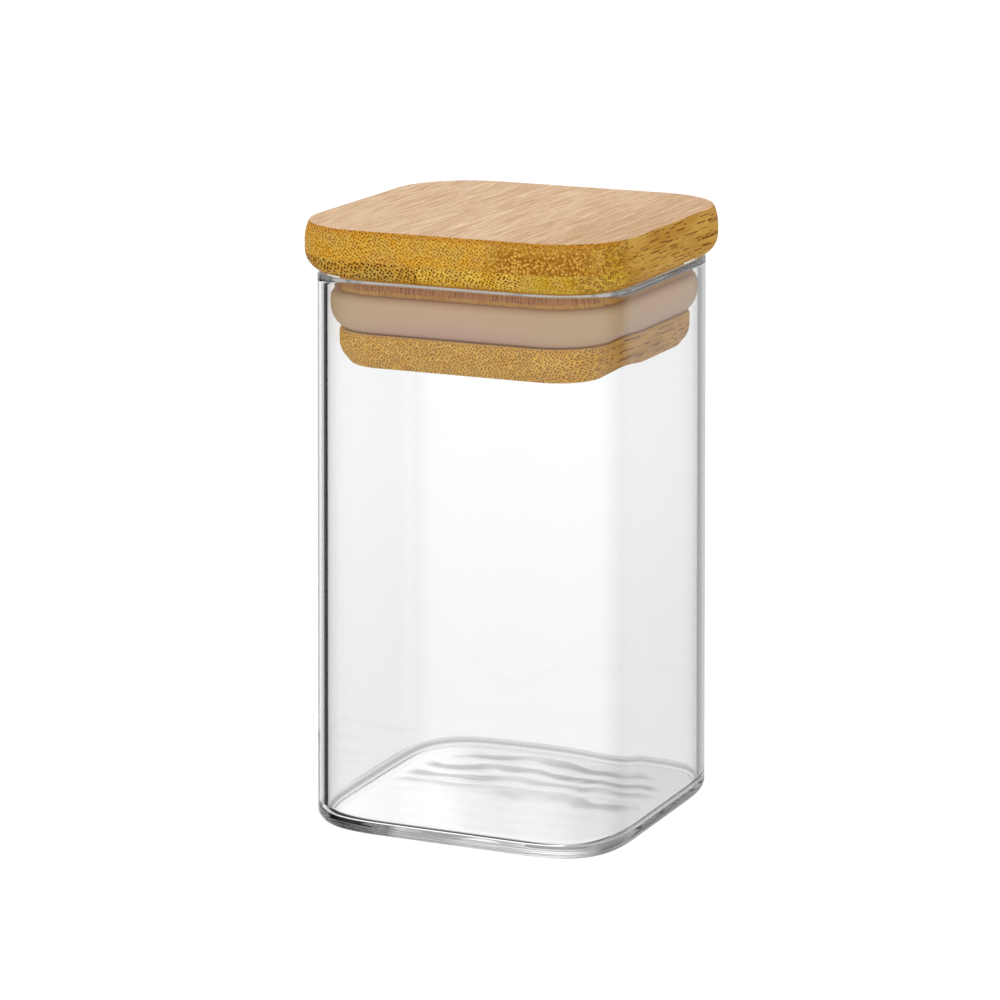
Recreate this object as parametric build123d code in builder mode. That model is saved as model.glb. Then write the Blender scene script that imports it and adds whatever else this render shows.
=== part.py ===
from build123d import *
from math import atan2, degrees
import os

# Square glass spice jar with a lift-off bamboo lid and a silicone sealing ring.
# The origin is the centre of the base, +Z is up and the bamboo fibres run along Y.

# Whole jar
overall_height = 120.0

# Glass
glass_width = 64.4
glass_corner_radius = 14.2
glass_draft = 0.8
glass_wall = 2.1
glass_floor = 2.2
heel_radius = 2.6
inner_heel_radius = 2.0
rim_outer_radius = 0.7
rim_crest = 0.1

# Lid plate, glued up from two plies of bamboo strips
plate_thickness = 10.0
upper_ply_thickness = 6.0
plate_overhang = 2.2
plate_edge_draw_in = 0.95
plate_bulge_height = 4.0
plate_bullnose_radius = 4.4
plate_edge_softening = 0.35

# Glue lines between the strips, as shares of the plate's width
strip_width_share = 0.3125
upper_middle_seam_share = 0.138
lower_middle_seam_share = -0.0712
narrowest_strip_share = 0.03

# Plug under the plate
plug_corner_radius = 11.2
neck_height = 3.3
groove_height = 7.7
flange_height = 6.9
groove_depth = 3.0
flange_chamfer_height = 2.9
flange_chamfer_width = 2.4
flange_edge_radius = 0.5
flange_bevel_radius = 4.5
flange_toe_radius = 1.0

# Silicone ring
ring_shoulder_radius = 1.4
ring_land = 1.2
ring_taper = 3.0
ring_edge_radius = 0.3

# Clearances
lid_seat_gap = 0.1
plug_gap = 2.0
ring_glass_gap = 0.15
ring_seat_gap = 0.05

# Overrun of the tools that cut
cut_overrun = 1.0

# Levels
plate_bottom = overall_height - plate_thickness
ply_seam = overall_height - upper_ply_thickness
glass_height = plate_bottom - lid_seat_gap
neck_bottom = plate_bottom - neck_height
flange_top = neck_bottom - groove_height
flange_bottom = flange_top - flange_height

# Outlines, each a rounded square given by its width and corner radius; the glass by its top,
# from where it widens downwards by the draft on each side
base_width = glass_width + 2 * glass_draft
base_corner_radius = glass_corner_radius + glass_draft
draft_angle = degrees(atan2(glass_draft, glass_height))
bore_width = glass_width - 2 * glass_wall
bore_corner_radius = glass_corner_radius - glass_wall
plate_width = glass_width + 2 * plate_overhang
plate_corner_radius = glass_corner_radius + plate_overhang
plug_width = bore_width - 2 * plug_gap
core_width = plug_width - 2 * groove_depth
core_corner_radius = plug_corner_radius - groove_depth

os.makedirs("parts", exist_ok=True)


def finish(piece, name):
    # Name a finished piece and write it
    piece.part.label = name
    export_step(piece.part, f"parts/{name}.step")


def square_path(width, corner_radius):
    # Closed rounded-square path that starts and ends at the middle of the +X side
    straight = width / 2 - corner_radius
    with BuildLine() as path:
        run = Line((width / 2, 0), (width / 2, straight))
        for run_length in (2 * straight, 2 * straight, 2 * straight, straight):
            corner = JernArc(run @ 1, run % 1, corner_radius, 90)
            run = Line(corner @ 1, corner @ 1 + (corner % 1) * run_length)
    return path.line


def plate_blank():
    # Whole lid plate: a crisp top edge, a bulging side and a large bullnose below
    half = plate_width / 2
    inner = half - plate_bullnose_radius - plate_edge_softening
    inner_radius = plate_corner_radius - (half - inner)
    widest_top = overall_height - plate_bulge_height
    widest_bottom = plate_bottom + plate_bullnose_radius
    with BuildPart() as blank:
        with BuildSketch(Plane.XY.offset(plate_bottom)):
            RectangleRounded(2 * inner, 2 * inner, inner_radius)
        extrude(amount=plate_thickness)
        with BuildSketch(Plane.XZ) as edge_section:
            with BuildLine():
                Line((inner, overall_height), (inner, plate_bottom))
                Line((inner, plate_bottom), (half - plate_bullnose_radius, plate_bottom))
                TangentArc(
                    (half - plate_bullnose_radius, plate_bottom), (half, widest_bottom), tangent=(1, 0)
                )
                Line((half, widest_bottom), (half, widest_top))
                TangentArc(
                    (half, widest_top), (half - plate_edge_draw_in, overall_height), tangent=(0, 1)
                )
                Line((half - plate_edge_draw_in, overall_height), (inner, overall_height))
            make_face()
        sweep(edge_section.sketch, path=square_path(2 * inner, inner_radius))
        top_face = blank.faces().sort_by(Axis.Z)[-1]
        fillet(top_face.edges(), plate_edge_softening)
    return blank.part


def ply_of_strips(blank, ply_name, bottom, top, middle_seam):
    # Cut one ply of the plate into its glued strips, numbered outward from the middle seam
    strip_width = plate_width * strip_width_share
    plate_edge = plate_width / 2
    furthest_seam = plate_edge - plate_width * narrowest_strip_share
    for side_name, side in (("left", -1), ("right", 1)):
        near = middle_seam
        number = 1
        while side * near < furthest_seam:
            far = near + side * strip_width
            if side * far > furthest_seam:
                far = side * (plate_edge + cut_overrun)
            with BuildPart() as strip:
                add(blank)
                with Locations(((near + far) / 2, 0, (bottom + top) / 2)):
                    Box(
                        abs(far - near), plate_width + 2 * cut_overrun, top - bottom, mode=Mode.INTERSECT
                    )
            finish(strip, f"{ply_name}_{side_name}_strip_{number}")
            near = far
            number += 1


# Glass jar: one piece, with a rounded heel and a fire-polished rim
with BuildPart() as glass_jar:
    with BuildSketch(Plane.XY):
        RectangleRounded(base_width, base_width, base_corner_radius)
    extrude(amount=glass_height, taper=draft_angle)
    base_face = glass_jar.faces().sort_by(Axis.Z)[0]
    fillet(base_face.edges(), heel_radius)
    with BuildSketch(Plane.XY.offset(glass_height)):
        RectangleRounded(bore_width, bore_width, bore_corner_radius)
    extrude(amount=glass_floor - glass_height, taper=-draft_angle, mode=Mode.SUBTRACT)
    inside_floor = glass_jar.faces().filter_by(Axis.Z).sort_by(Axis.Z)[1]
    fillet(inside_floor.edges(), inner_heel_radius)
    rim_face = glass_jar.faces().sort_by(Axis.Z)[-1]
    fillet(rim_face.outer_wire().edges(), rim_outer_radius)
    rim_face = glass_jar.faces().sort_by(Axis.Z)[-1]
    fillet(rim_face.inner_wires()[0].edges(), glass_wall - rim_outer_radius - rim_crest)
finish(glass_jar, "glass_jar")

# Lid plate: the upper and the lower ply, each of strips glued side by side
lid_plate = plate_blank()
upper_middle_seam = plate_width * upper_middle_seam_share
ply_of_strips(lid_plate, "lid_upper", ply_seam, overall_height, upper_middle_seam)
lower_middle_seam = plate_width * lower_middle_seam_share
ply_of_strips(lid_plate, "lid_lower", plate_bottom, ply_seam, lower_middle_seam)

# Plug core: the neck under the plate and the narrower block that carries the ring
with BuildPart() as plug_core:
    with BuildSketch(Plane.XY.offset(flange_top)):
        RectangleRounded(core_width, core_width, core_corner_radius)
    extrude(amount=groove_height)
    with BuildSketch(Plane.XY.offset(neck_bottom)):
        RectangleRounded(plug_width, plug_width, plug_corner_radius)
    extrude(amount=neck_height)
finish(plug_core, "plug_core")

# Plug flange: holds the ring up from below and leads the plug into the mouth
with BuildPart() as plug_flange:
    flange_half = plug_width / 2
    with BuildSketch(Plane.XY.offset(flange_bottom)):
        RectangleRounded(core_width, core_width, core_corner_radius)
    extrude(amount=flange_height)
    with BuildSketch(Plane.XZ) as flange_section:
        with BuildLine():
            FilletPolyline(
                (core_width / 2, flange_top),
                (flange_half, flange_top),
                (flange_half, flange_bottom + flange_chamfer_height),
                (flange_half - flange_chamfer_width, flange_bottom),
                (core_width / 2, flange_bottom),
                radius=(flange_edge_radius, flange_bevel_radius, flange_toe_radius),
            )
            Line((core_width / 2, flange_bottom), (core_width / 2, flange_top))
        make_face()
    sweep(flange_section.sketch, path=square_path(core_width, core_corner_radius))
finish(plug_flange, "plug_flange")

# Silicone ring: a soft shoulder above, a narrow land on the glass and a long taper below
with BuildPart() as silicone_ring:
    ring_inner = core_width / 2 + ring_seat_gap
    ring_outer = bore_width / 2 - ring_glass_gap
    ring_top = neck_bottom - ring_seat_gap
    ring_bottom = flange_top + ring_seat_gap
    land_top = ring_top - ring_shoulder_radius
    land_bottom = land_top - ring_land
    with BuildSketch(Plane.XZ) as ring_section:
        with BuildLine():
            Line((ring_inner, ring_bottom), (ring_inner, ring_top))
            Line((ring_inner, ring_top), (ring_outer - ring_shoulder_radius, ring_top))
            TangentArc(
                (ring_outer - ring_shoulder_radius, ring_top), (ring_outer, land_top), tangent=(1, 0)
            )
            Line((ring_outer, land_top), (ring_outer, land_bottom))
            TangentArc((ring_outer, land_bottom), (ring_outer - ring_taper, ring_bottom), tangent=(0, -1))
            Line((ring_outer - ring_taper, ring_bottom), (ring_inner, ring_bottom))
        make_face()
    sweep(ring_section.sketch, path=square_path(2 * ring_inner, core_corner_radius + ring_seat_gap))
    lower_face = silicone_ring.faces().filter_by(Axis.Z).sort_by(Axis.Z)[0]
    fillet(lower_face.outer_wire().edges(), ring_edge_radius)
finish(silicone_ring, "silicone_ring")
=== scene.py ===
from math import cos, pi, radians, sin

import bmesh
import bpy
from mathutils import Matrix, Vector, noise


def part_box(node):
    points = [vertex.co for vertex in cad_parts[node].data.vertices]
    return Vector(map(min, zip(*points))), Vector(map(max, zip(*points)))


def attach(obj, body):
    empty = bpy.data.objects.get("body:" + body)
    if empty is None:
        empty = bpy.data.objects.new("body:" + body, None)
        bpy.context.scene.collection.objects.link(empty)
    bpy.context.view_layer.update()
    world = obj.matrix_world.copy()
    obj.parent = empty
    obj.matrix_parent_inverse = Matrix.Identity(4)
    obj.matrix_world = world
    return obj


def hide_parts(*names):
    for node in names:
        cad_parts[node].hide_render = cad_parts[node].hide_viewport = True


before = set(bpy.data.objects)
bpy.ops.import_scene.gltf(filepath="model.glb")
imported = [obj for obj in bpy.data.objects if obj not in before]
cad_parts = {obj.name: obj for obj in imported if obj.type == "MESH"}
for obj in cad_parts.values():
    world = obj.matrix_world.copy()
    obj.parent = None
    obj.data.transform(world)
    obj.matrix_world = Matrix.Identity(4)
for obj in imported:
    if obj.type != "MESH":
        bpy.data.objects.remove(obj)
bpy.context.view_layer.update()
mm = 0.001
print("frame loaded,", len(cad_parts), "nodes")


# Node helpers

def addNode(tree, kind, inputs=None, **settings):
    node = tree.nodes.new("ShaderNode" + kind)
    for name, value in settings.items():
        setattr(node, name, value)
    for socket, value in (inputs or {}).items():
        if isinstance(value, bpy.types.NodeSocket):
            tree.links.new(value, node.inputs[socket])
        else:
            node.inputs[socket].default_value = value
    return node


def calc(tree, operation, *values):
    return addNode(tree, "Math", dict(enumerate(values)), operation=operation).outputs[0]


def multiply(tree, first, *others):
    for value in others:
        first = calc(tree, "MULTIPLY", first, value)
    return first


def opposite(tree, share):
    return calc(tree, "SUBTRACT", 1.0, share)


def swing(tree, cloud, width):  # noise, which lies around a half, as a move to both sides of zero
    return calc(tree, "MULTIPLY", calc(tree, "SUBTRACT", cloud, 0.5), width)


def vectorCalc(tree, operation, first, second, output="Vector"):
    return addNode(tree, "VectorMath", {0: first, 1: second}, operation=operation).outputs[output]


def fade(tree, value, start, end, low=0.0, high=1.0):
    inputs = {"Value": value, "From Min": start, "From Max": end, "To Min": low, "To Max": high}
    return addNode(tree, "MapRange", inputs, interpolation_type="SMOOTHSTEP").outputs["Result"]


def mixValues(tree, share, first, second):
    return addNode(tree, "Mix", {0: share, 2: first, 3: second}).outputs[0]


def mixColours(tree, share, first, second):
    return addNode(tree, "Mix", {0: share, 6: first, 7: second}, data_type="RGBA").outputs[2]


def newMaterial(name):
    material = bpy.data.materials.new(name)
    material.use_nodes = True
    return material, material.node_tree, material.node_tree.nodes["Principled BSDF"]


def newGroup(name, inputs, outputs):
    group = bpy.data.node_groups.new(name, "ShaderNodeTree")
    for label, value in inputs.items():
        kind = "NodeSocketColor" if isinstance(value, tuple) else "NodeSocketFloat"
        group.interface.new_socket(name=label, in_out="INPUT", socket_type=kind).default_value = value
    for label, kind in outputs.items():
        group.interface.new_socket(name=label, in_out="OUTPUT", socket_type="NodeSocket" + kind)
    return group, group.nodes.new("NodeGroupInput").outputs, group.nodes.new("NodeGroupOutput").inputs


def rgb(red, green, blue):  # screen values from 0 to 255
    linear = [((v / 255 + 0.055) / 1.055) ** 2.4 for v in (red, green, blue)]
    return (*linear, 1)


# Camera and studio

camera = {
    "azimuth": 24.39,  # degrees to the right of the front
    "elevation": 13.03,
    "distance": 822.7 * mm,
    "lens": 150.0,
    "sensor": 36.0,
    "aim": Vector((0, 0, 60 * mm)),
    "slideRight": -2.655 * mm,  # of the aim, across the picture
    "slideUp": 2.253 * mm,
}


def addCamera():
    azimuth = radians(camera["azimuth"])
    elevation = radians(camera["elevation"])
    back = Vector((sin(azimuth) * cos(elevation), -cos(azimuth) * cos(elevation), sin(elevation)))
    right = Vector((cos(azimuth), sin(azimuth), 0))
    up = back.cross(right)
    aim = camera["aim"] + right * camera["slideRight"] + up * camera["slideUp"]
    bpy.ops.object.camera_add(location=aim + back * camera["distance"])
    viewer = bpy.context.object
    viewer.rotation_euler = back.to_track_quat("Z", "Y").to_euler()
    viewer.data.lens = camera["lens"]
    viewer.data.sensor_width = camera["sensor"]
    viewer.data.dof.use_dof = False
    bpy.context.scene.camera = viewer


studio = {
    "floorSize": 6.0,
    "floorDrop": 0.2 * mm,  # thin gap under the glass
    "floorGlow": 0.84,
    "seen": 1.1,  # brightness of the surroundings, straight into the picture
    "through": 1.05,  # through the glass
    "lighting": 1.0,  # as light on the matt pieces
    # What the glass mirrors, also from inside: degrees to the right of its back, and brightness
    "mirrored": (
        (-180, 0.9), (-110, 0.8), (-85, 0.15), (-68, 0.02), (-52, 0.0), (-38.6, 0.0), (-37, 0.42),
        (-33, 0.5), (-28, 0.6), (-20, 1.1), (-14, 1.4), (-2, 1.4), (2, 0.5), (12, 0.5), (24, 0.62),
        (31, 0.42), (42, 0.3), (46, 0.48), (56, 0.48), (62, 0.1), (80, 0.15), (110, 0.8), (180, 0.9),
    ),
    "mirroredAbove": 0.9,  # towards straight up
    "aboveFrom": (0.35, 0.8),  # upward part of the direction
    "farInside": 0.55,  # what light that has run far inside the glass meets
    "farDepths": (8, 14),
    "bounces": 96,  # light runs far inside the glass walls
}


def addWorld():
    world = bpy.data.worlds.new("studioWorld")
    world.use_nodes = True
    bpy.context.scene.world = world
    tree = world.node_tree
    facing = addNode(tree, "TexCoord").outputs["Generated"]
    azimuth = radians(camera["azimuth"])
    aside = vectorCalc(tree, "DOT_PRODUCT", facing, (cos(azimuth), sin(azimuth), 0), output="Value")
    behind = vectorCalc(tree, "DOT_PRODUCT", facing, (-sin(azimuth), cos(azimuth), 0), output="Value")
    turn = calc(tree, "ARCTAN2", aside, behind)
    ramp = addNode(tree, "ValToRGB", {0: calc(tree, "MULTIPLY_ADD", turn, 0.5 / pi, 0.5)})
    stops = ramp.color_ramp.elements
    for index, (degrees, value) in enumerate(studio["mirrored"]):
        place = degrees / 360 + 0.5
        stop = stops[index] if index < 2 else stops.new(place)  # a new ramp has two stops
        stop.position = place
        stop.color = (value, value, value, 1)
    above = fade(tree, addNode(tree, "SeparateXYZ", {0: facing}).outputs["Z"], *studio["aboveFrom"])
    mirrored = mixValues(tree, above, ramp.outputs["Color"], studio["mirroredAbove"])

    path = addNode(tree, "LightPath").outputs
    far = fade(tree, path["Ray Depth"], *studio["farDepths"])
    mirrored = mixValues(tree, far, mirrored, studio["farInside"])
    strength = mixValues(tree, path["Is Transmission Ray"], studio["lighting"], studio["through"])
    strength = mixValues(tree, calc(tree, "GREATER_THAN", path["Glossy Depth"], 0.5), strength, mirrored)
    strength = mixValues(tree, path["Is Camera Ray"], strength, studio["seen"])
    background = tree.nodes["Background"]
    background.inputs["Color"].default_value = (1, 1, 1, 1)
    tree.links.new(strength, background.inputs["Strength"])


def addFloor():
    bpy.ops.mesh.primitive_plane_add(size=studio["floorSize"], location=(0, 0, -studio["floorDrop"]))
    floor = bpy.context.object
    floor.name = "studioFloor"
    floor.visible_glossy = False  # the glass shows the studio behind it
    floor.visible_transmission = False
    material, tree, shader = newMaterial("paleFloor")
    shader.inputs["Base Color"].default_value = (0, 0, 0, 1)
    shader.inputs["Roughness"].default_value = 1.0
    shader.inputs["Specular IOR Level"].default_value = 0.0
    shader.inputs["Emission Color"].default_value = (1, 1, 1, 1)
    seen = addNode(tree, "LightPath").outputs["Is Camera Ray"]
    glow = mixValues(tree, seen, studio["floorGlow"], studio["seen"])
    tree.links.new(glow, shader.inputs["Emission Strength"])
    floor.data.materials.append(material)


bpy.ops.object.select_all(action="DESELECT")
addCamera()
addWorld()
addFloor()
bpy.context.scene.view_settings.view_transform = "Standard"
bpy.context.scene.cycles.use_denoising = True
bpy.context.scene.cycles.max_bounces = studio["bounces"]
bpy.context.scene.cycles.transmission_bounces = studio["bounces"]
bpy.context.scene.cycles.glossy_bounces = studio["bounces"]
print("camera, world and floor added")


# Modelling helpers: everything is picked by its place

def pickEdges(test):
    bpy.ops.mesh.select_all(action="DESELECT")
    bpy.ops.mesh.select_mode(type="EDGE")
    shape = bmesh.from_edit_mesh(bpy.context.object.data)
    for edge in shape.edges:
        edge.select_set(test(edge.verts[0].co) and test(edge.verts[1].co))
    bmesh.update_edit_mesh(bpy.context.object.data)


def pickFaces(test):
    bpy.ops.mesh.select_all(action="DESELECT")
    bpy.ops.mesh.select_mode(type="FACE")
    shape = bmesh.from_edit_mesh(bpy.context.object.data)
    for face in shape.faces:
        face.select_set(test(face.calc_center_median()))
    bmesh.update_edit_mesh(bpy.context.object.data)


def pickVerts(test):
    bpy.ops.mesh.select_all(action="DESELECT")
    bpy.ops.mesh.select_mode(type="VERT")
    shape = bmesh.from_edit_mesh(bpy.context.object.data)
    for vert in shape.verts:
        vert.select_set(test(vert.co))
    bmesh.update_edit_mesh(bpy.context.object.data)


# Glass jar

glass = {
    "wall": 2.1 * mm,
    "floor": 2.2 * mm,
    "cornerReach": 20.6 * mm,  # how far each corner's curve runs along the sides
    "cornerFullness": 0.63,  # profile of that curve: it starts gently and is tightest in the middle
    "cornerSteps": 24,
    "outlinePower": 3.0,  # of the outline's formula, close to that curve
    "sideCuts": 47,
    "draft": 0.8 * mm,  # each side leans in by this much from base to rim
    "heelRadius": 2.6 * mm,
    "innerHeelRadius": 2.0 * mm,
    "heelSteps": 10,
    "rimOuterRadius": 0.5 * mm,
    "rimInnerRadius": 1.2 * mm,
    "rimDrop": 1.9 * mm,  # height of the flare inside the rim
    "rimSteps": 8,
    "arcProfile": 0.5,  # makes the heel's and rim's bevels true arcs
    # Ripples of the pressed floor, in stripes along the back wall
    "rippleHeight": 0.05 * mm,
    "rippleLength": 7.5 * mm,
    "rippleFrom": (-4 * mm, 7 * mm),  # along Y: where the stripes begin and are full
    "rippleEnd": (23.5 * mm, 27 * mm),  # from the middle: where they fade and end
    "rippleDrifts": ((5, 14 * mm), (2, 6 * mm)),  # strength and width of the noises that bend them
    # Glass colours, and the heights between which they change: the low colour is a painted shade, darker
    # low in the jar
    "colour": (0.992, 0.993, 0.993, 1),
    "lowShadeColour": (0.948, 0.95, 0.949, 1),
    "lowHeights": (18 * mm, 85 * mm),
    # Grey swirls over the ripples, a painted shade: dark bands standing in for the dark surroundings that
    # the rippled floor bends into view
    "paintedSwirlShade": (0.26, 0.26, 0.26, 1),
    "swirlNoise": 45.0,
    "swirlDetail": 2.0,
    "swirlDrift": 16.0,
    "swirlStripes": (-0.5, 0.7),  # of the sine wave: where a stripe begins and is full
    "swirlEdge": 8 * mm,  # how much their edge in front wavers
    "swirlFaint": 0.06,  # in front of that edge
    "swirlClouds": (0.35, 0.55, 0.45, 1.0),
    "swirlLevel": (0.6, 0.9),  # upward part of the normal
    "swirlTop": (3 * mm, 4 * mm),
    "swirlFacing": (0.2, 0.8, 0.3, 1.0),  # they show most from low down
    # Painted shade: a grey line round the inside heel, standing in for its dark refracted edge, between two
    # steepnesses and below a height
    "heelShadeColour": (0.5, 0.5, 0.5, 1),
    "heelShadeFrom": (0.3, 0.55),
    "heelShadeTo": (0.8, 0.95),
    "heelShadeTop": (5 * mm, 6 * mm),
    "ior": 1.47,
    "paintedScatterGrey": rgb(176, 176, 176),  # painted scattered light: plain grey painted on the lid where it is seen after many turns in the glass
    "scatterGreyDepths": (5, 8),
}


def glassMaterial():
    material, tree, shader = newMaterial("clearGlass")
    place = addNode(tree, "TexCoord").outputs["Object"]
    at = addNode(tree, "SeparateXYZ", {0: place}).outputs
    level = addNode(tree, "SeparateXYZ", {0: addNode(tree, "NewGeometry").outputs["Normal"]}).outputs["Z"]
    # Painted shade: the glass turns darker towards the bottom
    body = mixColours(tree, fade(tree, at["Z"], *glass["lowHeights"]), glass["lowShadeColour"], glass["colour"])

    # How far out a point of the floor lies, in the outline's own shape
    power = glass["outlinePower"]
    spread = [calc(tree, "POWER", calc(tree, "ABSOLUTE", at[axis]), power) for axis in ("X", "Y")]
    out = calc(tree, "POWER", calc(tree, "ADD", *spread), 1 / power)

    clouds = {"Vector": place, "Scale": glass["swirlNoise"], "Detail": glass["swirlDetail"]}
    clouds = addNode(tree, "TexNoise", clouds).outputs["Fac"]
    waves = calc(tree, "MULTIPLY", at["Y"], 2 * pi / glass["rippleLength"])
    waves = calc(tree, "SINE", calc(tree, "MULTIPLY_ADD", clouds, glass["swirlDrift"], waves))
    along = calc(tree, "MULTIPLY_ADD", clouds, glass["swirlEdge"], at["Y"])
    facing = addNode(tree, "LayerWeight").outputs["Facing"]
    # Painted shade: grey swirls over the floor's ripples
    swirlShade = multiply(
        tree,
        fade(tree, along, *glass["rippleFrom"], glass["swirlFaint"], 1.0),
        fade(tree, out, *glass["rippleEnd"], 1.0, 0.0),
        fade(tree, level, *glass["swirlLevel"]),
        fade(tree, at["Z"], *glass["swirlTop"], 1.0, 0.0),
        fade(tree, waves, *glass["swirlStripes"]),
        fade(tree, clouds, *glass["swirlClouds"]),
        fade(tree, facing, *glass["swirlFacing"]),
    )
    body = mixColours(tree, swirlShade, body, glass["paintedSwirlShade"])

    # Painted shade: the grey line round the inside heel
    line = multiply(
        tree,
        fade(tree, level, *glass["heelShadeFrom"]),
        fade(tree, level, *glass["heelShadeTo"], 1.0, 0.0),
        fade(tree, at["Z"], *glass["heelShadeTop"], 1.0, 0.0),
    )
    tree.links.new(mixColours(tree, line, body, glass["heelShadeColour"]), shader.inputs["Base Color"])
    shader.inputs["Roughness"].default_value = 0.0
    shader.inputs["IOR"].default_value = glass["ior"]
    shader.inputs["Transmission Weight"].default_value = 1.0
    return material


def glassJar():
    low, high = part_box("glass_jar")
    lean = glass["draft"] / (high.z - low.z)
    half = high.x + glass["heelRadius"] * lean
    middle = half - glass["wall"] / 2  # between the two skins of the wall
    straight = half - glass["cornerReach"]
    power = glass["outlinePower"]
    hair = 0.01 * mm

    def near(value, level):
        return abs(value - level) < hair

    def reach(p):  # half width of the outline that runs through a point
        beyond = max(abs(p.x) - straight, 0) ** power + max(abs(p.y) - straight, 0) ** power
        return straight + beyond ** (1 / power) if beyond else 0

    bpy.ops.object.select_all(action="DESELECT")
    bpy.ops.mesh.primitive_plane_add(size=2 * half, location=(0, 0, low.z))
    jar = bpy.context.object
    jar.name = "glassJar"
    bpy.ops.object.transform_apply(location=True, rotation=True, scale=True)
    bpy.ops.object.mode_set(mode="EDIT")
    bpy.ops.mesh.select_all(action="SELECT")
    bpy.ops.mesh.bevel(
        offset=glass["cornerReach"],
        segments=glass["cornerSteps"],
        profile=glass["cornerFullness"],
        affect="VERTICES",
    )
    bpy.ops.mesh.extrude_region_move(TRANSFORM_OT_translate={"value": (0, 0, high.z - low.z)})
    bpy.ops.mesh.select_all(action="SELECT")
    bpy.ops.mesh.normals_make_consistent(inside=False)

    # Hollow it out from the mouth
    pickFaces(lambda centre: near(centre.z, high.z))
    bpy.ops.mesh.inset(thickness=glass["wall"], use_even_offset=True)
    bpy.ops.mesh.extrude_region_move(
        TRANSFORM_OT_translate={"value": (0, 0, low.z + glass["floor"] - high.z)}
    )
    bpy.ops.mesh.select_all(action="SELECT")
    bpy.ops.mesh.normals_make_consistent(inside=False)

    # The floor's straight edges are cut up, so that its grid and its rounded border stay even
    floorLevel = low.z + glass["floor"]
    pickEdges(lambda p: near(p.z, floorLevel) and near(min(abs(p.x), abs(p.y)), straight))
    bpy.ops.mesh.subdivide(number_cuts=glass["sideCuts"])

    # Heel, inner heel and rim
    for level, inside, radius, steps in (
        (low.z, False, glass["heelRadius"], glass["heelSteps"]),
        (floorLevel, True, glass["innerHeelRadius"], glass["heelSteps"]),
        (high.z, False, glass["rimOuterRadius"], glass["rimSteps"]),
        (high.z, True, glass["rimInnerRadius"], glass["rimSteps"]),
    ):
        pickEdges(lambda p: near(p.z, level) and inside == (reach(p) < middle))
        bpy.ops.mesh.bevel(
            offset=radius,
            segments=steps,
            profile=glass["arcProfile"],
            affect="EDGES",
            clamp_overlap=False,
        )
    flareStart = high.z - glass["rimInnerRadius"]
    pickVerts(lambda p: p.z > flareStart - hair and reach(p) < middle)
    bpy.ops.transform.resize(
        value=(1, 1, glass["rimDrop"] / glass["rimInnerRadius"]), center_override=(0, 0, high.z)
    )

    # Grid of faces over the inside floor, so that it can ripple
    pickFaces(lambda centre: near(centre.z, floorLevel))
    bpy.ops.mesh.delete(type="ONLY_FACE")
    pickEdges(lambda p: near(p.z, floorLevel) and reach(p) < middle)
    bpy.ops.mesh.fill_grid(span=glass["cornerSteps"] + glass["sideCuts"] + 1)
    bpy.ops.object.mode_set(mode="OBJECT")

    def rise(value, start, end):
        share = min(max((value - start) / (end - start), 0), 1)
        return share * share * (3 - 2 * share)

    for vert in jar.data.vertices:
        if near(vert.co.z, floorLevel):
            out = (abs(vert.co.x) ** power + abs(vert.co.y) ** power) ** (1 / power)
            drift = sum(height * noise.noise(vert.co / width) for height, width in glass["rippleDrifts"])
            wave = sin(2 * pi * vert.co.y / glass["rippleLength"] + drift)
            strength = rise(vert.co.y, *glass["rippleFrom"]) * (1 - rise(out, *glass["rippleEnd"]))
            vert.co.z += glass["rippleHeight"] * wave * strength
        narrower = 1 - lean * (vert.co.z - low.z) / half
        vert.co.x *= narrower
        vert.co.y *= narrower
    bpy.ops.object.shade_smooth()
    bpy.ops.object.modifier_add(type="WEIGHTED_NORMAL")
    bpy.ops.object.modifier_apply(modifier="WeightedNormal")
    return jar


jar = glassJar()
jar.visible_shadow = False  # lets the studio's light straight through to what the glass covers
jar.visible_diffuse = False
jar.data.materials.append(glassMaterial())
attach(jar, "jar")
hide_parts("glass_jar")
print("glass jar:", len(jar.data.polygons), "faces")


# Bamboo: the fibres run along Y, so pores are dots on the front and dashes on the sides. Lengths
# are in mm here. A pair of values is where something begins and is full; two more are its strengths.

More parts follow.
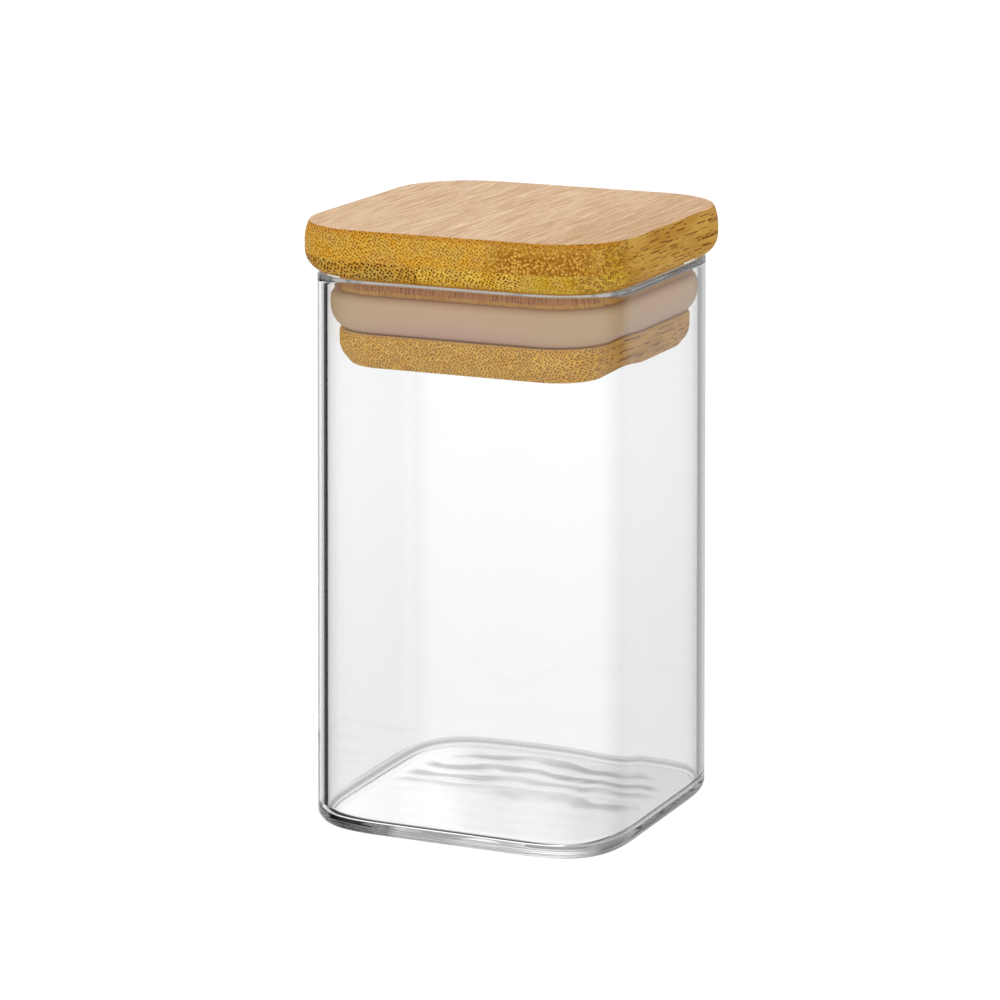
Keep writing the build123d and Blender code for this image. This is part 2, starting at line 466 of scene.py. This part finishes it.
bamboo = {
    "seedMove": (17, 31, 23),  # how far a piece's pattern moves with each seed
    # Noises: waves per mm along X, Y and Z, detail and roughness
    "wander": ((0.25, 0.12, 0.25), 2.0, 0.6),
    "grit": ((5.0, 0.6, 5.0), 2.0, 0.6),
    "streaks": ((1.6, 0.04, 1.6), 4.0, 0.65),
    "fineLines": ((4.6, 0.09, 4.6), 3.0, 0.6),
    "mottle": ((0.22, 0.05, 0.4), 3.0, 0.6),
    "pale": ((0.3, 0.05, 0.35), 3.0, 0.6),
    "paleMove": (50, 0, 0),
    # Fibres
    "wanderWidth": 1.6,
    "leanAside": 0.07,  # for each mm along the fibre
    "leanUp": 0.008,
    "gritWidth": 0.35,
    # Pores, with a pale halo round each
    "rowTurn": 0.55,  # radians, of the rows of pores
    "poreFaint": (0.0, 0.5, 0.45, 1.0),
    "haloReach": (1.2, 2.6),  # in pore radii
    "haloShare": 0.5,
    "haloColour": rgb(252, 212, 110),
    # Rings, near the right corner
    "ringFrom": 26.5,  # along X
    "ringBlend": 3.0,
    "ringWaver": 3.0,
    "ringShare": 0.85,
    "ringTurn": 0.5,  # so that they stay round past the corner
    "ringSpacing": 0.98,
    "ringRadius": 0.3,
    "ringLine": (0.05, 0.2),
    "ringFaint": (0.1, 0.5, 0.3, 1.0),
    "ringDots": 0.45,  # strength of the dots among them
    "hollow": (0.1, 0.25),
    "hollowShare": 0.3,
    "hollowColour": rgb(236, 196, 96),
    # Dashes on the long sides
    "dashSpacing": 0.52,
    "dashSize": (0.14, 0.36),
    "dashFaint": (0.1, 0.5),
    "dashStreaks": (0.35, 0.55, 0.4, 0.95),
    # Tuft of fibres: light spots over brown, in the lower part of a strip
    "tuftSpacing": 0.62,
    "tuftSpot": (0.08, 0.62),
    "tuftFaint": (0.0, 0.8, 0.25, 1.0),
    "tuftMottle": 4.0,
    "tuftGrit": 2.0,
    "tuftTop": (117.0, 120.2),
    "tuftLeft": (8.5, 13.0),
    "tuftRight": (28.0, 31.0),
    # End grain, with an orange line along its top edge
    "endMottle": (0.42, 0.62),
    "endPale": (0.45, 0.65, 0.0, 0.8),
    "edge": (118.7, 119.5, 0.0, 0.5),
    "edgeColour": rgb(200, 128, 36),
    # Pith, a rough band in the neck
    # Painted shade: a pinkish band in the neck's end grain, standing in for the neck in shade, tinted by
    # light through the silicone
    "pinkShadeWaver": 0.6,
    "pinkShadeEdge": 0.15,
    "pinkShadeFrom": (-23.5, -22.0),
    "pinkShadePlain": 0.7,  # how much fainter the pores are outside it
    # Long sides and top
    "sideStreaks": 0.6,
    "sideDark": (0.65, 1.0),
    "topStreaks": 0.25,
    "topDark": (0.38, 0.62),
    "topDarkRight": (4.0, 34.0, 0.0, 0.3),
    "topPores": 0.07,
    # Which way the surface faces
    "upward": (0.6, 0.8),
    "sideways": (0.9, 0.99),
    # Finish
    "dirt": (0.3, 0.7, 0.0, 0.14),
    "dirtColour": rgb(110, 62, 10),
    "streakHeight": 0.3,
    "bump": 0.18,
    "bumpDistance": 0.1 * mm,
    "roughness": 0.6,
    "specular": 0.08,
}

# What each piece can set for itself
bambooBase = {
    "Seed": 0.0,
    "Pore Spacing": 0.7,
    "Pore Size": 0.2,  # radius, as a share of the spacing
    "Pore Edge": 0.1,
    "Pore Strength": 0.7,
    "Pore Disorder": 0.55,
    "Pore Height": 1.0,
    "Tuft": 0.0,
    "Pink Shade Low": 0.0,  # heights between which the neck is painted pinkish shade
    "Pink Shade High": 0.0,
    "Pink Shade": rgb(184, 124, 66),
    "Pore Colour": rgb(118, 66, 2),
    "End Light": rgb(226, 174, 64),
    "End Dark": rgb(228, 164, 44),
    "End Pale": rgb(214, 168, 80),
    # Side colours: the long grain's own colour, partly painted shade, darker than the end grain
    "Side Light": rgb(206, 160, 72),
    "Side Dark": rgb(184, 132, 44),
    "Side Pore": rgb(104, 50, 2),
    "Top Light": rgb(246, 214, 180),
    "Top Dark": rgb(204, 162, 118),
    "Tuft Light": rgb(250, 200, 90),
    "Tuft Dark": rgb(152, 96, 16),
}

bambooStrips = {
    "lid_upper_left_strip_2": {"Seed": 1.0, "Pore Spacing": 0.56, "Pore Size": 0.28, "Pore Strength": 0.95},
    "lid_upper_left_strip_1": {"Seed": 2.0, "Pore Spacing": 0.56, "Pore Size": 0.27, "Pore Strength": 0.9},
    "lid_upper_right_strip_1": {
        "Seed": 3.0, "Pore Spacing": 0.58, "Pore Size": 0.27, "Pore Strength": 0.9, "Tuft": 0.9,
        "End Light": rgb(212, 160, 56), "End Dark": rgb(206, 146, 34),
    },
    "lid_upper_right_strip_2": {
        "Seed": 4.0, "Pore Spacing": 0.7, "Pore Size": 0.28, "Pore Strength": 0.9,
        "End Light": rgb(200, 152, 50), "End Dark": rgb(194, 142, 30), "End Pale": rgb(196, 152, 62),
    },
    "lid_lower_left_strip_2": {
        "Seed": 5.0, "Pore Spacing": 0.68, "Pore Size": 0.33, "Pore Strength": 1.0,
        "Pore Colour": rgb(40, 20, 2), "End Light": rgb(210, 160, 62), "End Dark": rgb(202, 146, 44),
        "End Pale": rgb(190, 148, 74),
    },
    "lid_lower_left_strip_1": {
        "Seed": 6.0, "Pore Spacing": 0.66, "Pore Size": 0.33, "Pore Strength": 1.0,
        "Pore Colour": rgb(56, 28, 2), "End Light": rgb(216, 166, 68), "End Dark": rgb(208, 150, 44),
        "End Pale": rgb(206, 168, 78),
    },
    "lid_lower_right_strip_1": {
        "Seed": 7.0, "Pore Spacing": 0.64, "Pore Size": 0.29, "Pore Strength": 1.0,
        "Pore Colour": rgb(66, 36, 2), "End Light": rgb(240, 192, 76), "End Dark": rgb(232, 176, 50),
    },
    "lid_lower_right_strip_2": {
        "Seed": 8.0, "Pore Spacing": 0.6, "Pore Size": 0.25, "Pore Strength": 0.7,
        "End Light": rgb(216, 178, 66), "End Dark": rgb(206, 160, 38),
    },
    # The neck's band from 107.5 to 108.7 mm is painted pinkish shade
    "plug_core": {
        "Seed": 9.0, "Pore Spacing": 0.46, "Pore Size": 0.3, "Pore Strength": 0.75, "Pore Height": 5.0,
        "Pink Shade Low": 107.5, "Pink Shade High": 108.7, "Pore Colour": rgb(92, 44, 6),
        "End Light": rgb(206, 152, 62), "End Dark": rgb(196, 138, 48), "End Pale": rgb(204, 158, 84),
    },
    # The flange's long sides are painted darker still, a painted shade, and its upward-facing top and eased
    # edge lighter yellow, a painted highlight
    "plug_flange": {
        "Seed": 10.0, "Pore Spacing": 0.56, "Pore Size": 0.26, "Pore Strength": 1.0,
        "Pore Colour": rgb(90, 50, 2), "Side Light": rgb(196, 148, 68), "Side Dark": rgb(168, 120, 40),
        "Top Light": rgb(228, 184, 104), "Top Dark": rgb(214, 166, 84),
        "End Light": rgb(218, 166, 60), "End Dark": rgb(208, 150, 36), "End Pale": rgb(202, 154, 58),
    },
}


def stretchedNoise(group, place, stretch, detail, roughness):
    inputs = {"Vector": vectorCalc(group, "MULTIPLY", place, stretch), "Scale": 1.0}
    inputs |= {"Detail": detail, "Roughness": roughness}
    return addNode(group, "TexNoise", inputs).outputs["Fac"]


def poreField(group, section, spacing, disorder=1.0):
    # Cells over the cross-section of the fibres: distance to the cell's middle, and a value per cell
    inputs = {"Vector": section, "Scale": calc(group, "DIVIDE", 1.0, spacing), "Randomness": disorder}
    cells = addNode(group, "TexVoronoi", inputs, voronoi_dimensions="2D").outputs
    return cells["Distance"], addNode(group, "SeparateColor", {0: cells["Color"]}).outputs[0]


def bambooGroup():
    group, given, result = newGroup("bambooGrain", bambooBase, {"Color": "Color", "Height": "Float"})
    place = addNode(group, "TexCoord").outputs["Object"]
    inMm = vectorCalc(group, "MULTIPLY", place, (1 / mm, 1 / mm, 1 / mm))
    at = addNode(group, "SeparateXYZ", {0: inMm}).outputs
    seed = addNode(group, "CombineXYZ", {axis: given["Seed"] for axis in "XYZ"}).outputs[0]
    moved = vectorCalc(group, "ADD", inMm, vectorCalc(group, "MULTIPLY", seed, bamboo["seedMove"]))
    movedAt = addNode(group, "SeparateXYZ", {0: moved}).outputs
    wander = stretchedNoise(group, moved, *bamboo["wander"])
    grit = stretchedNoise(group, moved, *bamboo["grit"])
    streaks = stretchedNoise(group, moved, *bamboo["streaks"])
    fineLines = stretchedNoise(group, moved, *bamboo["fineLines"])
    mottle = stretchedNoise(group, moved, *bamboo["mottle"])
    pale = stretchedNoise(group, vectorCalc(group, "ADD", moved, bamboo["paleMove"]), *bamboo["pale"])

    # Which way the surface faces: up, to a long side, or else it is end grain
    normal = addNode(group, "SeparateXYZ", {0: addNode(group, "NewGeometry").outputs["Normal"]}).outputs
    upward = fade(group, normal["Z"], *bamboo["upward"])
    level = addNode(group, "CombineXYZ", {"X": normal["X"], "Y": normal["Y"]}).outputs[0]
    level = addNode(group, "VectorMath", {0: level}, operation="NORMALIZE").outputs["Vector"]
    aside = calc(group, "ABSOLUTE", addNode(group, "SeparateXYZ", {0: level}).outputs["X"])
    sideways = fade(group, aside, *bamboo["sideways"])

    # The fibres lean a little, so a long cut meets each pore for a few millimetres
    across = calc(group, "MULTIPLY_ADD", movedAt["Y"], bamboo["leanAside"], movedAt["X"])
    across = calc(group, "ADD", across, swing(group, wander, bamboo["wanderWidth"]))
    jagged = calc(group, "MULTIPLY_ADD", grit, bamboo["gritWidth"], across)
    upright = calc(group, "MULTIPLY_ADD", movedAt["Y"], bamboo["leanUp"], movedAt["Z"])

    # Pores
    rows = {"X": across, "Y": calc(group, "DIVIDE", upright, given["Pore Height"])}
    rows = {"Vector": addNode(group, "CombineXYZ", rows).outputs[0], "Angle": bamboo["rowTurn"]}
    rows = addNode(group, "VectorRotate", rows, rotation_type="Z_AXIS").outputs[0]
    distance, luck = poreField(group, rows, given["Pore Spacing"], given["Pore Disorder"])
    inner = calc(group, "SUBTRACT", given["Pore Size"], given["Pore Edge"])
    outer = calc(group, "ADD", given["Pore Size"], given["Pore Edge"])
    dots = fade(group, distance, inner, outer, 1.0, 0.0)
    dots = multiply(group, dots, fade(group, luck, *bamboo["poreFaint"]))
    halo = fade(group, distance, *(multiply(group, outer, radii) for radii in bamboo["haloReach"]))

    # Rings with light middles
    rounded = calc(group, "MULTIPLY_ADD", movedAt["Y"], bamboo["ringTurn"], jagged)
    rounded = addNode(group, "CombineXYZ", {"X": rounded, "Y": movedAt["Z"]}).outputs[0]
    distance, luck = poreField(group, rounded, bamboo["ringSpacing"])
    rings = calc(group, "ABSOLUTE", calc(group, "SUBTRACT", distance, bamboo["ringRadius"]))
    rings = fade(group, rings, *bamboo["ringLine"], 1.0, 0.0)
    rings = multiply(group, rings, fade(group, luck, *bamboo["ringFaint"]))
    hollow = fade(group, distance, *bamboo["hollow"], 1.0, 0.0)
    ringEnd = bamboo["ringFrom"] + bamboo["ringBlend"]
    ringed = calc(group, "MULTIPLY_ADD", mottle, bamboo["ringWaver"], at["X"])
    ringed = fade(group, ringed, bamboo["ringFrom"], ringEnd, 0.0, bamboo["ringShare"])
    hollow = multiply(group, hollow, ringed, opposite(group, sideways))

    # Dashes
    section = addNode(group, "CombineXYZ", {"X": jagged, "Y": upright}).outputs[0]
    distance, luck = poreField(group, section, bamboo["dashSpacing"])
    dashes = multiply(
        group,
        fade(group, distance, *bamboo["dashSize"], 1.0, 0.0),
        fade(group, luck, *bamboo["dashFaint"]),
        fade(group, streaks, *bamboo["dashStreaks"]),
    )

    # Tuft
    distance, luck = poreField(group, rounded, bamboo["tuftSpacing"])
    spots = fade(group, distance, *bamboo["tuftSpot"], 1.0, 0.0)
    spots = multiply(group, spots, fade(group, luck, *bamboo["tuftFaint"]))
    tuftColour = mixColours(group, spots, given["Tuft Dark"], given["Tuft Light"])
    hills = swing(group, mottle, bamboo["tuftMottle"])
    hills = calc(group, "ADD", hills, swing(group, grit, bamboo["tuftGrit"]))
    tuftAcross = calc(group, "ADD", at["X"], hills)
    tufted = multiply(
        group,
        fade(group, calc(group, "ADD", at["Z"], hills), *bamboo["tuftTop"], 1.0, 0.0),
        fade(group, tuftAcross, *bamboo["tuftLeft"]),
        fade(group, tuftAcross, *bamboo["tuftRight"], 1.0, 0.0),
        given["Tuft"],
    )

    # Painted pinkish shade on the neck
    pinkShadeAt = calc(group, "ADD", at["Z"], swing(group, grit, bamboo["pinkShadeWaver"]))
    overLow = calc(group, "SUBTRACT", pinkShadeAt, given["Pink Shade Low"])
    underHigh = calc(group, "SUBTRACT", given["Pink Shade High"], pinkShadeAt)
    pinkShaded = calc(group, "MINIMUM", overLow, underHigh)
    pinkShaded = fade(group, pinkShaded, -bamboo["pinkShadeEdge"], bamboo["pinkShadeEdge"])
    pinkShaded = multiply(group, pinkShaded, fade(group, at["X"], *bamboo["pinkShadeFrom"]))
    hasPinkShade = calc(group, "GREATER_THAN", given["Pink Shade High"], 1.0)
    plain = multiply(group, hasPinkShade, opposite(group, pinkShaded), bamboo["pinkShadePlain"])

    # End grain
    endColour = fade(group, mottle, *bamboo["endMottle"])
    endColour = mixColours(group, endColour, given["End Light"], given["End Dark"])
    endColour = mixColours(group, fade(group, pale, *bamboo["endPale"]), endColour, given["End Pale"])
    halo = multiply(group, halo, bamboo["haloShare"])
    endColour = mixColours(group, halo, endColour, bamboo["haloColour"])
    endColour = mixColours(group, fade(group, at["Z"], *bamboo["edge"]), endColour, bamboo["edgeColour"])
    # Painted pinkish shade on the neck's end grain
    endColour = mixColours(group, pinkShaded, endColour, given["Pink Shade"])
    endColour = mixColours(group, tufted, endColour, tuftColour)
    ringDots = calc(group, "MAXIMUM", rings, multiply(group, dots, bamboo["ringDots"]))
    shown = mixValues(group, ringed, multiply(group, dots, given["Pore Strength"]), ringDots)
    shown = multiply(group, shown, opposite(group, tufted), opposite(group, plain))
    endColour = mixColours(group, shown, endColour, given["Pore Colour"])

    # Long sides: the long grain's own colour, partly painted shade, darker than the front's end grain
    sideShare = calc(group, "MULTIPLY_ADD", streaks, bamboo["sideStreaks"], mottle)
    sideShare = fade(group, sideShare, *bamboo["sideDark"])
    sideColour = mixColours(group, sideShare, given["Side Light"], given["Side Dark"])
    sideColour = mixColours(group, dashes, sideColour, given["Side Pore"])

    # Top
    topShare = fade(group, mixValues(group, bamboo["topStreaks"], fineLines, streaks), *bamboo["topDark"])
    topShare = calc(group, "ADD", topShare, fade(group, at["X"], *bamboo["topDarkRight"]))
    topColour = mixColours(group, topShare, given["Top Light"], given["Top Dark"])
    topPores = multiply(group, dots, bamboo["topPores"])
    topColour = mixColours(group, topPores, topColour, given["Side Pore"])

    colour = mixColours(group, sideways, endColour, sideColour)
    hollow = multiply(group, hollow, bamboo["hollowShare"])
    colour = mixColours(group, hollow, colour, bamboo["hollowColour"])
    colour = mixColours(group, upward, colour, topColour)
    colour = mixColours(group, fade(group, grit, *bamboo["dirt"]), colour, bamboo["dirtColour"])
    sunk = multiply(group, calc(group, "MAXIMUM", shown, dashes), opposite(group, upward))
    height = calc(group, "SUBTRACT", multiply(group, streaks, bamboo["streakHeight"]), sunk)
    group.links.new(colour, result["Color"])
    group.links.new(height, result["Height"])
    return group


def bambooMaterial(group, piece):
    material, tree, shader = newMaterial("bamboo_" + piece)
    grain = tree.nodes.new("ShaderNodeGroup")
    grain.node_tree = group
    for label, value in (bambooBase | bambooStrips[piece]).items():
        grain.inputs[label].default_value = value
    bump = {"Strength": bamboo["bump"], "Distance": bamboo["bumpDistance"]}
    bump = addNode(tree, "Bump", bump | {"Height": grain.outputs["Height"]})
    # Painted scattered light: the lid turns plain grey where it is seen after many turns in the glass
    scattered = fade(tree, addNode(tree, "LightPath").outputs["Ray Depth"], *glass["scatterGreyDepths"])
    colour = mixColours(tree, scattered, grain.outputs["Color"], glass["paintedScatterGrey"])
    tree.links.new(colour, shader.inputs["Base Color"])
    tree.links.new(bump.outputs["Normal"], shader.inputs["Normal"])
    shader.inputs["Roughness"].default_value = bamboo["roughness"]
    shader.inputs["Specular IOR Level"].default_value = bamboo["specular"]
    return material


grainGroup = bambooGroup()
for pieceName in bambooStrips:
    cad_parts[pieceName].material_slots[0].material = bambooMaterial(grainGroup, pieceName)
print("bamboo:", len(bambooStrips), "pieces")


# Silicone ring

silicone = {
    "colour": rgb(198, 164, 130),
    # Painted shade: darker and mauve towards the bottom of the ring
    "lowShadeColour": rgb(188, 154, 138),
    # Painted reflection: greenish light from the bamboo at the ring's corners
    "cornerReflectionColour": rgb(188, 162, 122),
    "cornerReflectionReach": (28 * mm, 40 * mm, 0.0, 0.9),  # from the jar's axis: where that colour begins and is full
    "cloudNoise": 90.0,
    "cloudDetail": 3.0,
    "cloudShare": 0.2,
    "bump": 0.15,
    "bumpDistance": 0.1 * mm,
    # A few specks of dust
    "dustNoise": 520.0,
    "dustSize": (0.08, 0.2, 0.9, 0.0),
    "dustRare": 0.95,
    "dustColour": rgb(250, 244, 236),
    "roughness": 0.5,
    "specular": 0.2,
}


def siliconeMaterial():
    material, tree, shader = newMaterial("beigeSilicone")
    low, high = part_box("silicone_ring")
    place = addNode(tree, "TexCoord").outputs["Object"]
    level = addNode(tree, "SeparateXYZ", {0: place}).outputs["Z"]
    cloud = {"Vector": place, "Scale": silicone["cloudNoise"], "Detail": silicone["cloudDetail"]}
    cloud = addNode(tree, "TexNoise", cloud).outputs["Fac"]
    # Painted shade: darker and mauve towards the bottom of the ring, mixed with cloudy tone
    share = calc(tree, "MULTIPLY_ADD", cloud, silicone["cloudShare"], fade(tree, level, low.z, high.z))
    colour = mixColours(tree, share, silicone["lowShadeColour"], silicone["colour"])
    # Painted reflection: greenish bamboo light at the ring's corners
    fromAxis = vectorCalc(tree, "MULTIPLY", place, (1, 1, 0))
    fromAxis = addNode(tree, "VectorMath", {0: fromAxis}, operation="LENGTH").outputs["Value"]
    corner = fade(tree, fromAxis, *silicone["cornerReflectionReach"])
    colour = mixColours(tree, corner, colour, silicone["cornerReflectionColour"])

    dust = addNode(tree, "TexVoronoi", {"Vector": place, "Scale": silicone["dustNoise"]}).outputs
    luck = addNode(tree, "SeparateColor", {0: dust["Color"]}).outputs[0]
    speck = fade(tree, dust["Distance"], *silicone["dustSize"])
    speck = multiply(tree, speck, calc(tree, "GREATER_THAN", luck, silicone["dustRare"]))
    colour = mixColours(tree, speck, colour, silicone["dustColour"])
    tree.links.new(colour, shader.inputs["Base Color"])

    bump = {"Strength": silicone["bump"], "Distance": silicone["bumpDistance"], "Height": cloud}
    tree.links.new(addNode(tree, "Bump", bump).outputs["Normal"], shader.inputs["Normal"])
    shader.inputs["Roughness"].default_value = silicone["roughness"]
    shader.inputs["Specular IOR Level"].default_value = silicone["specular"]
    return material


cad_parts["silicone_ring"].material_slots[0].material = siliconeMaterial()
print("silicone ring finished")


bpy.context.view_layer.update()
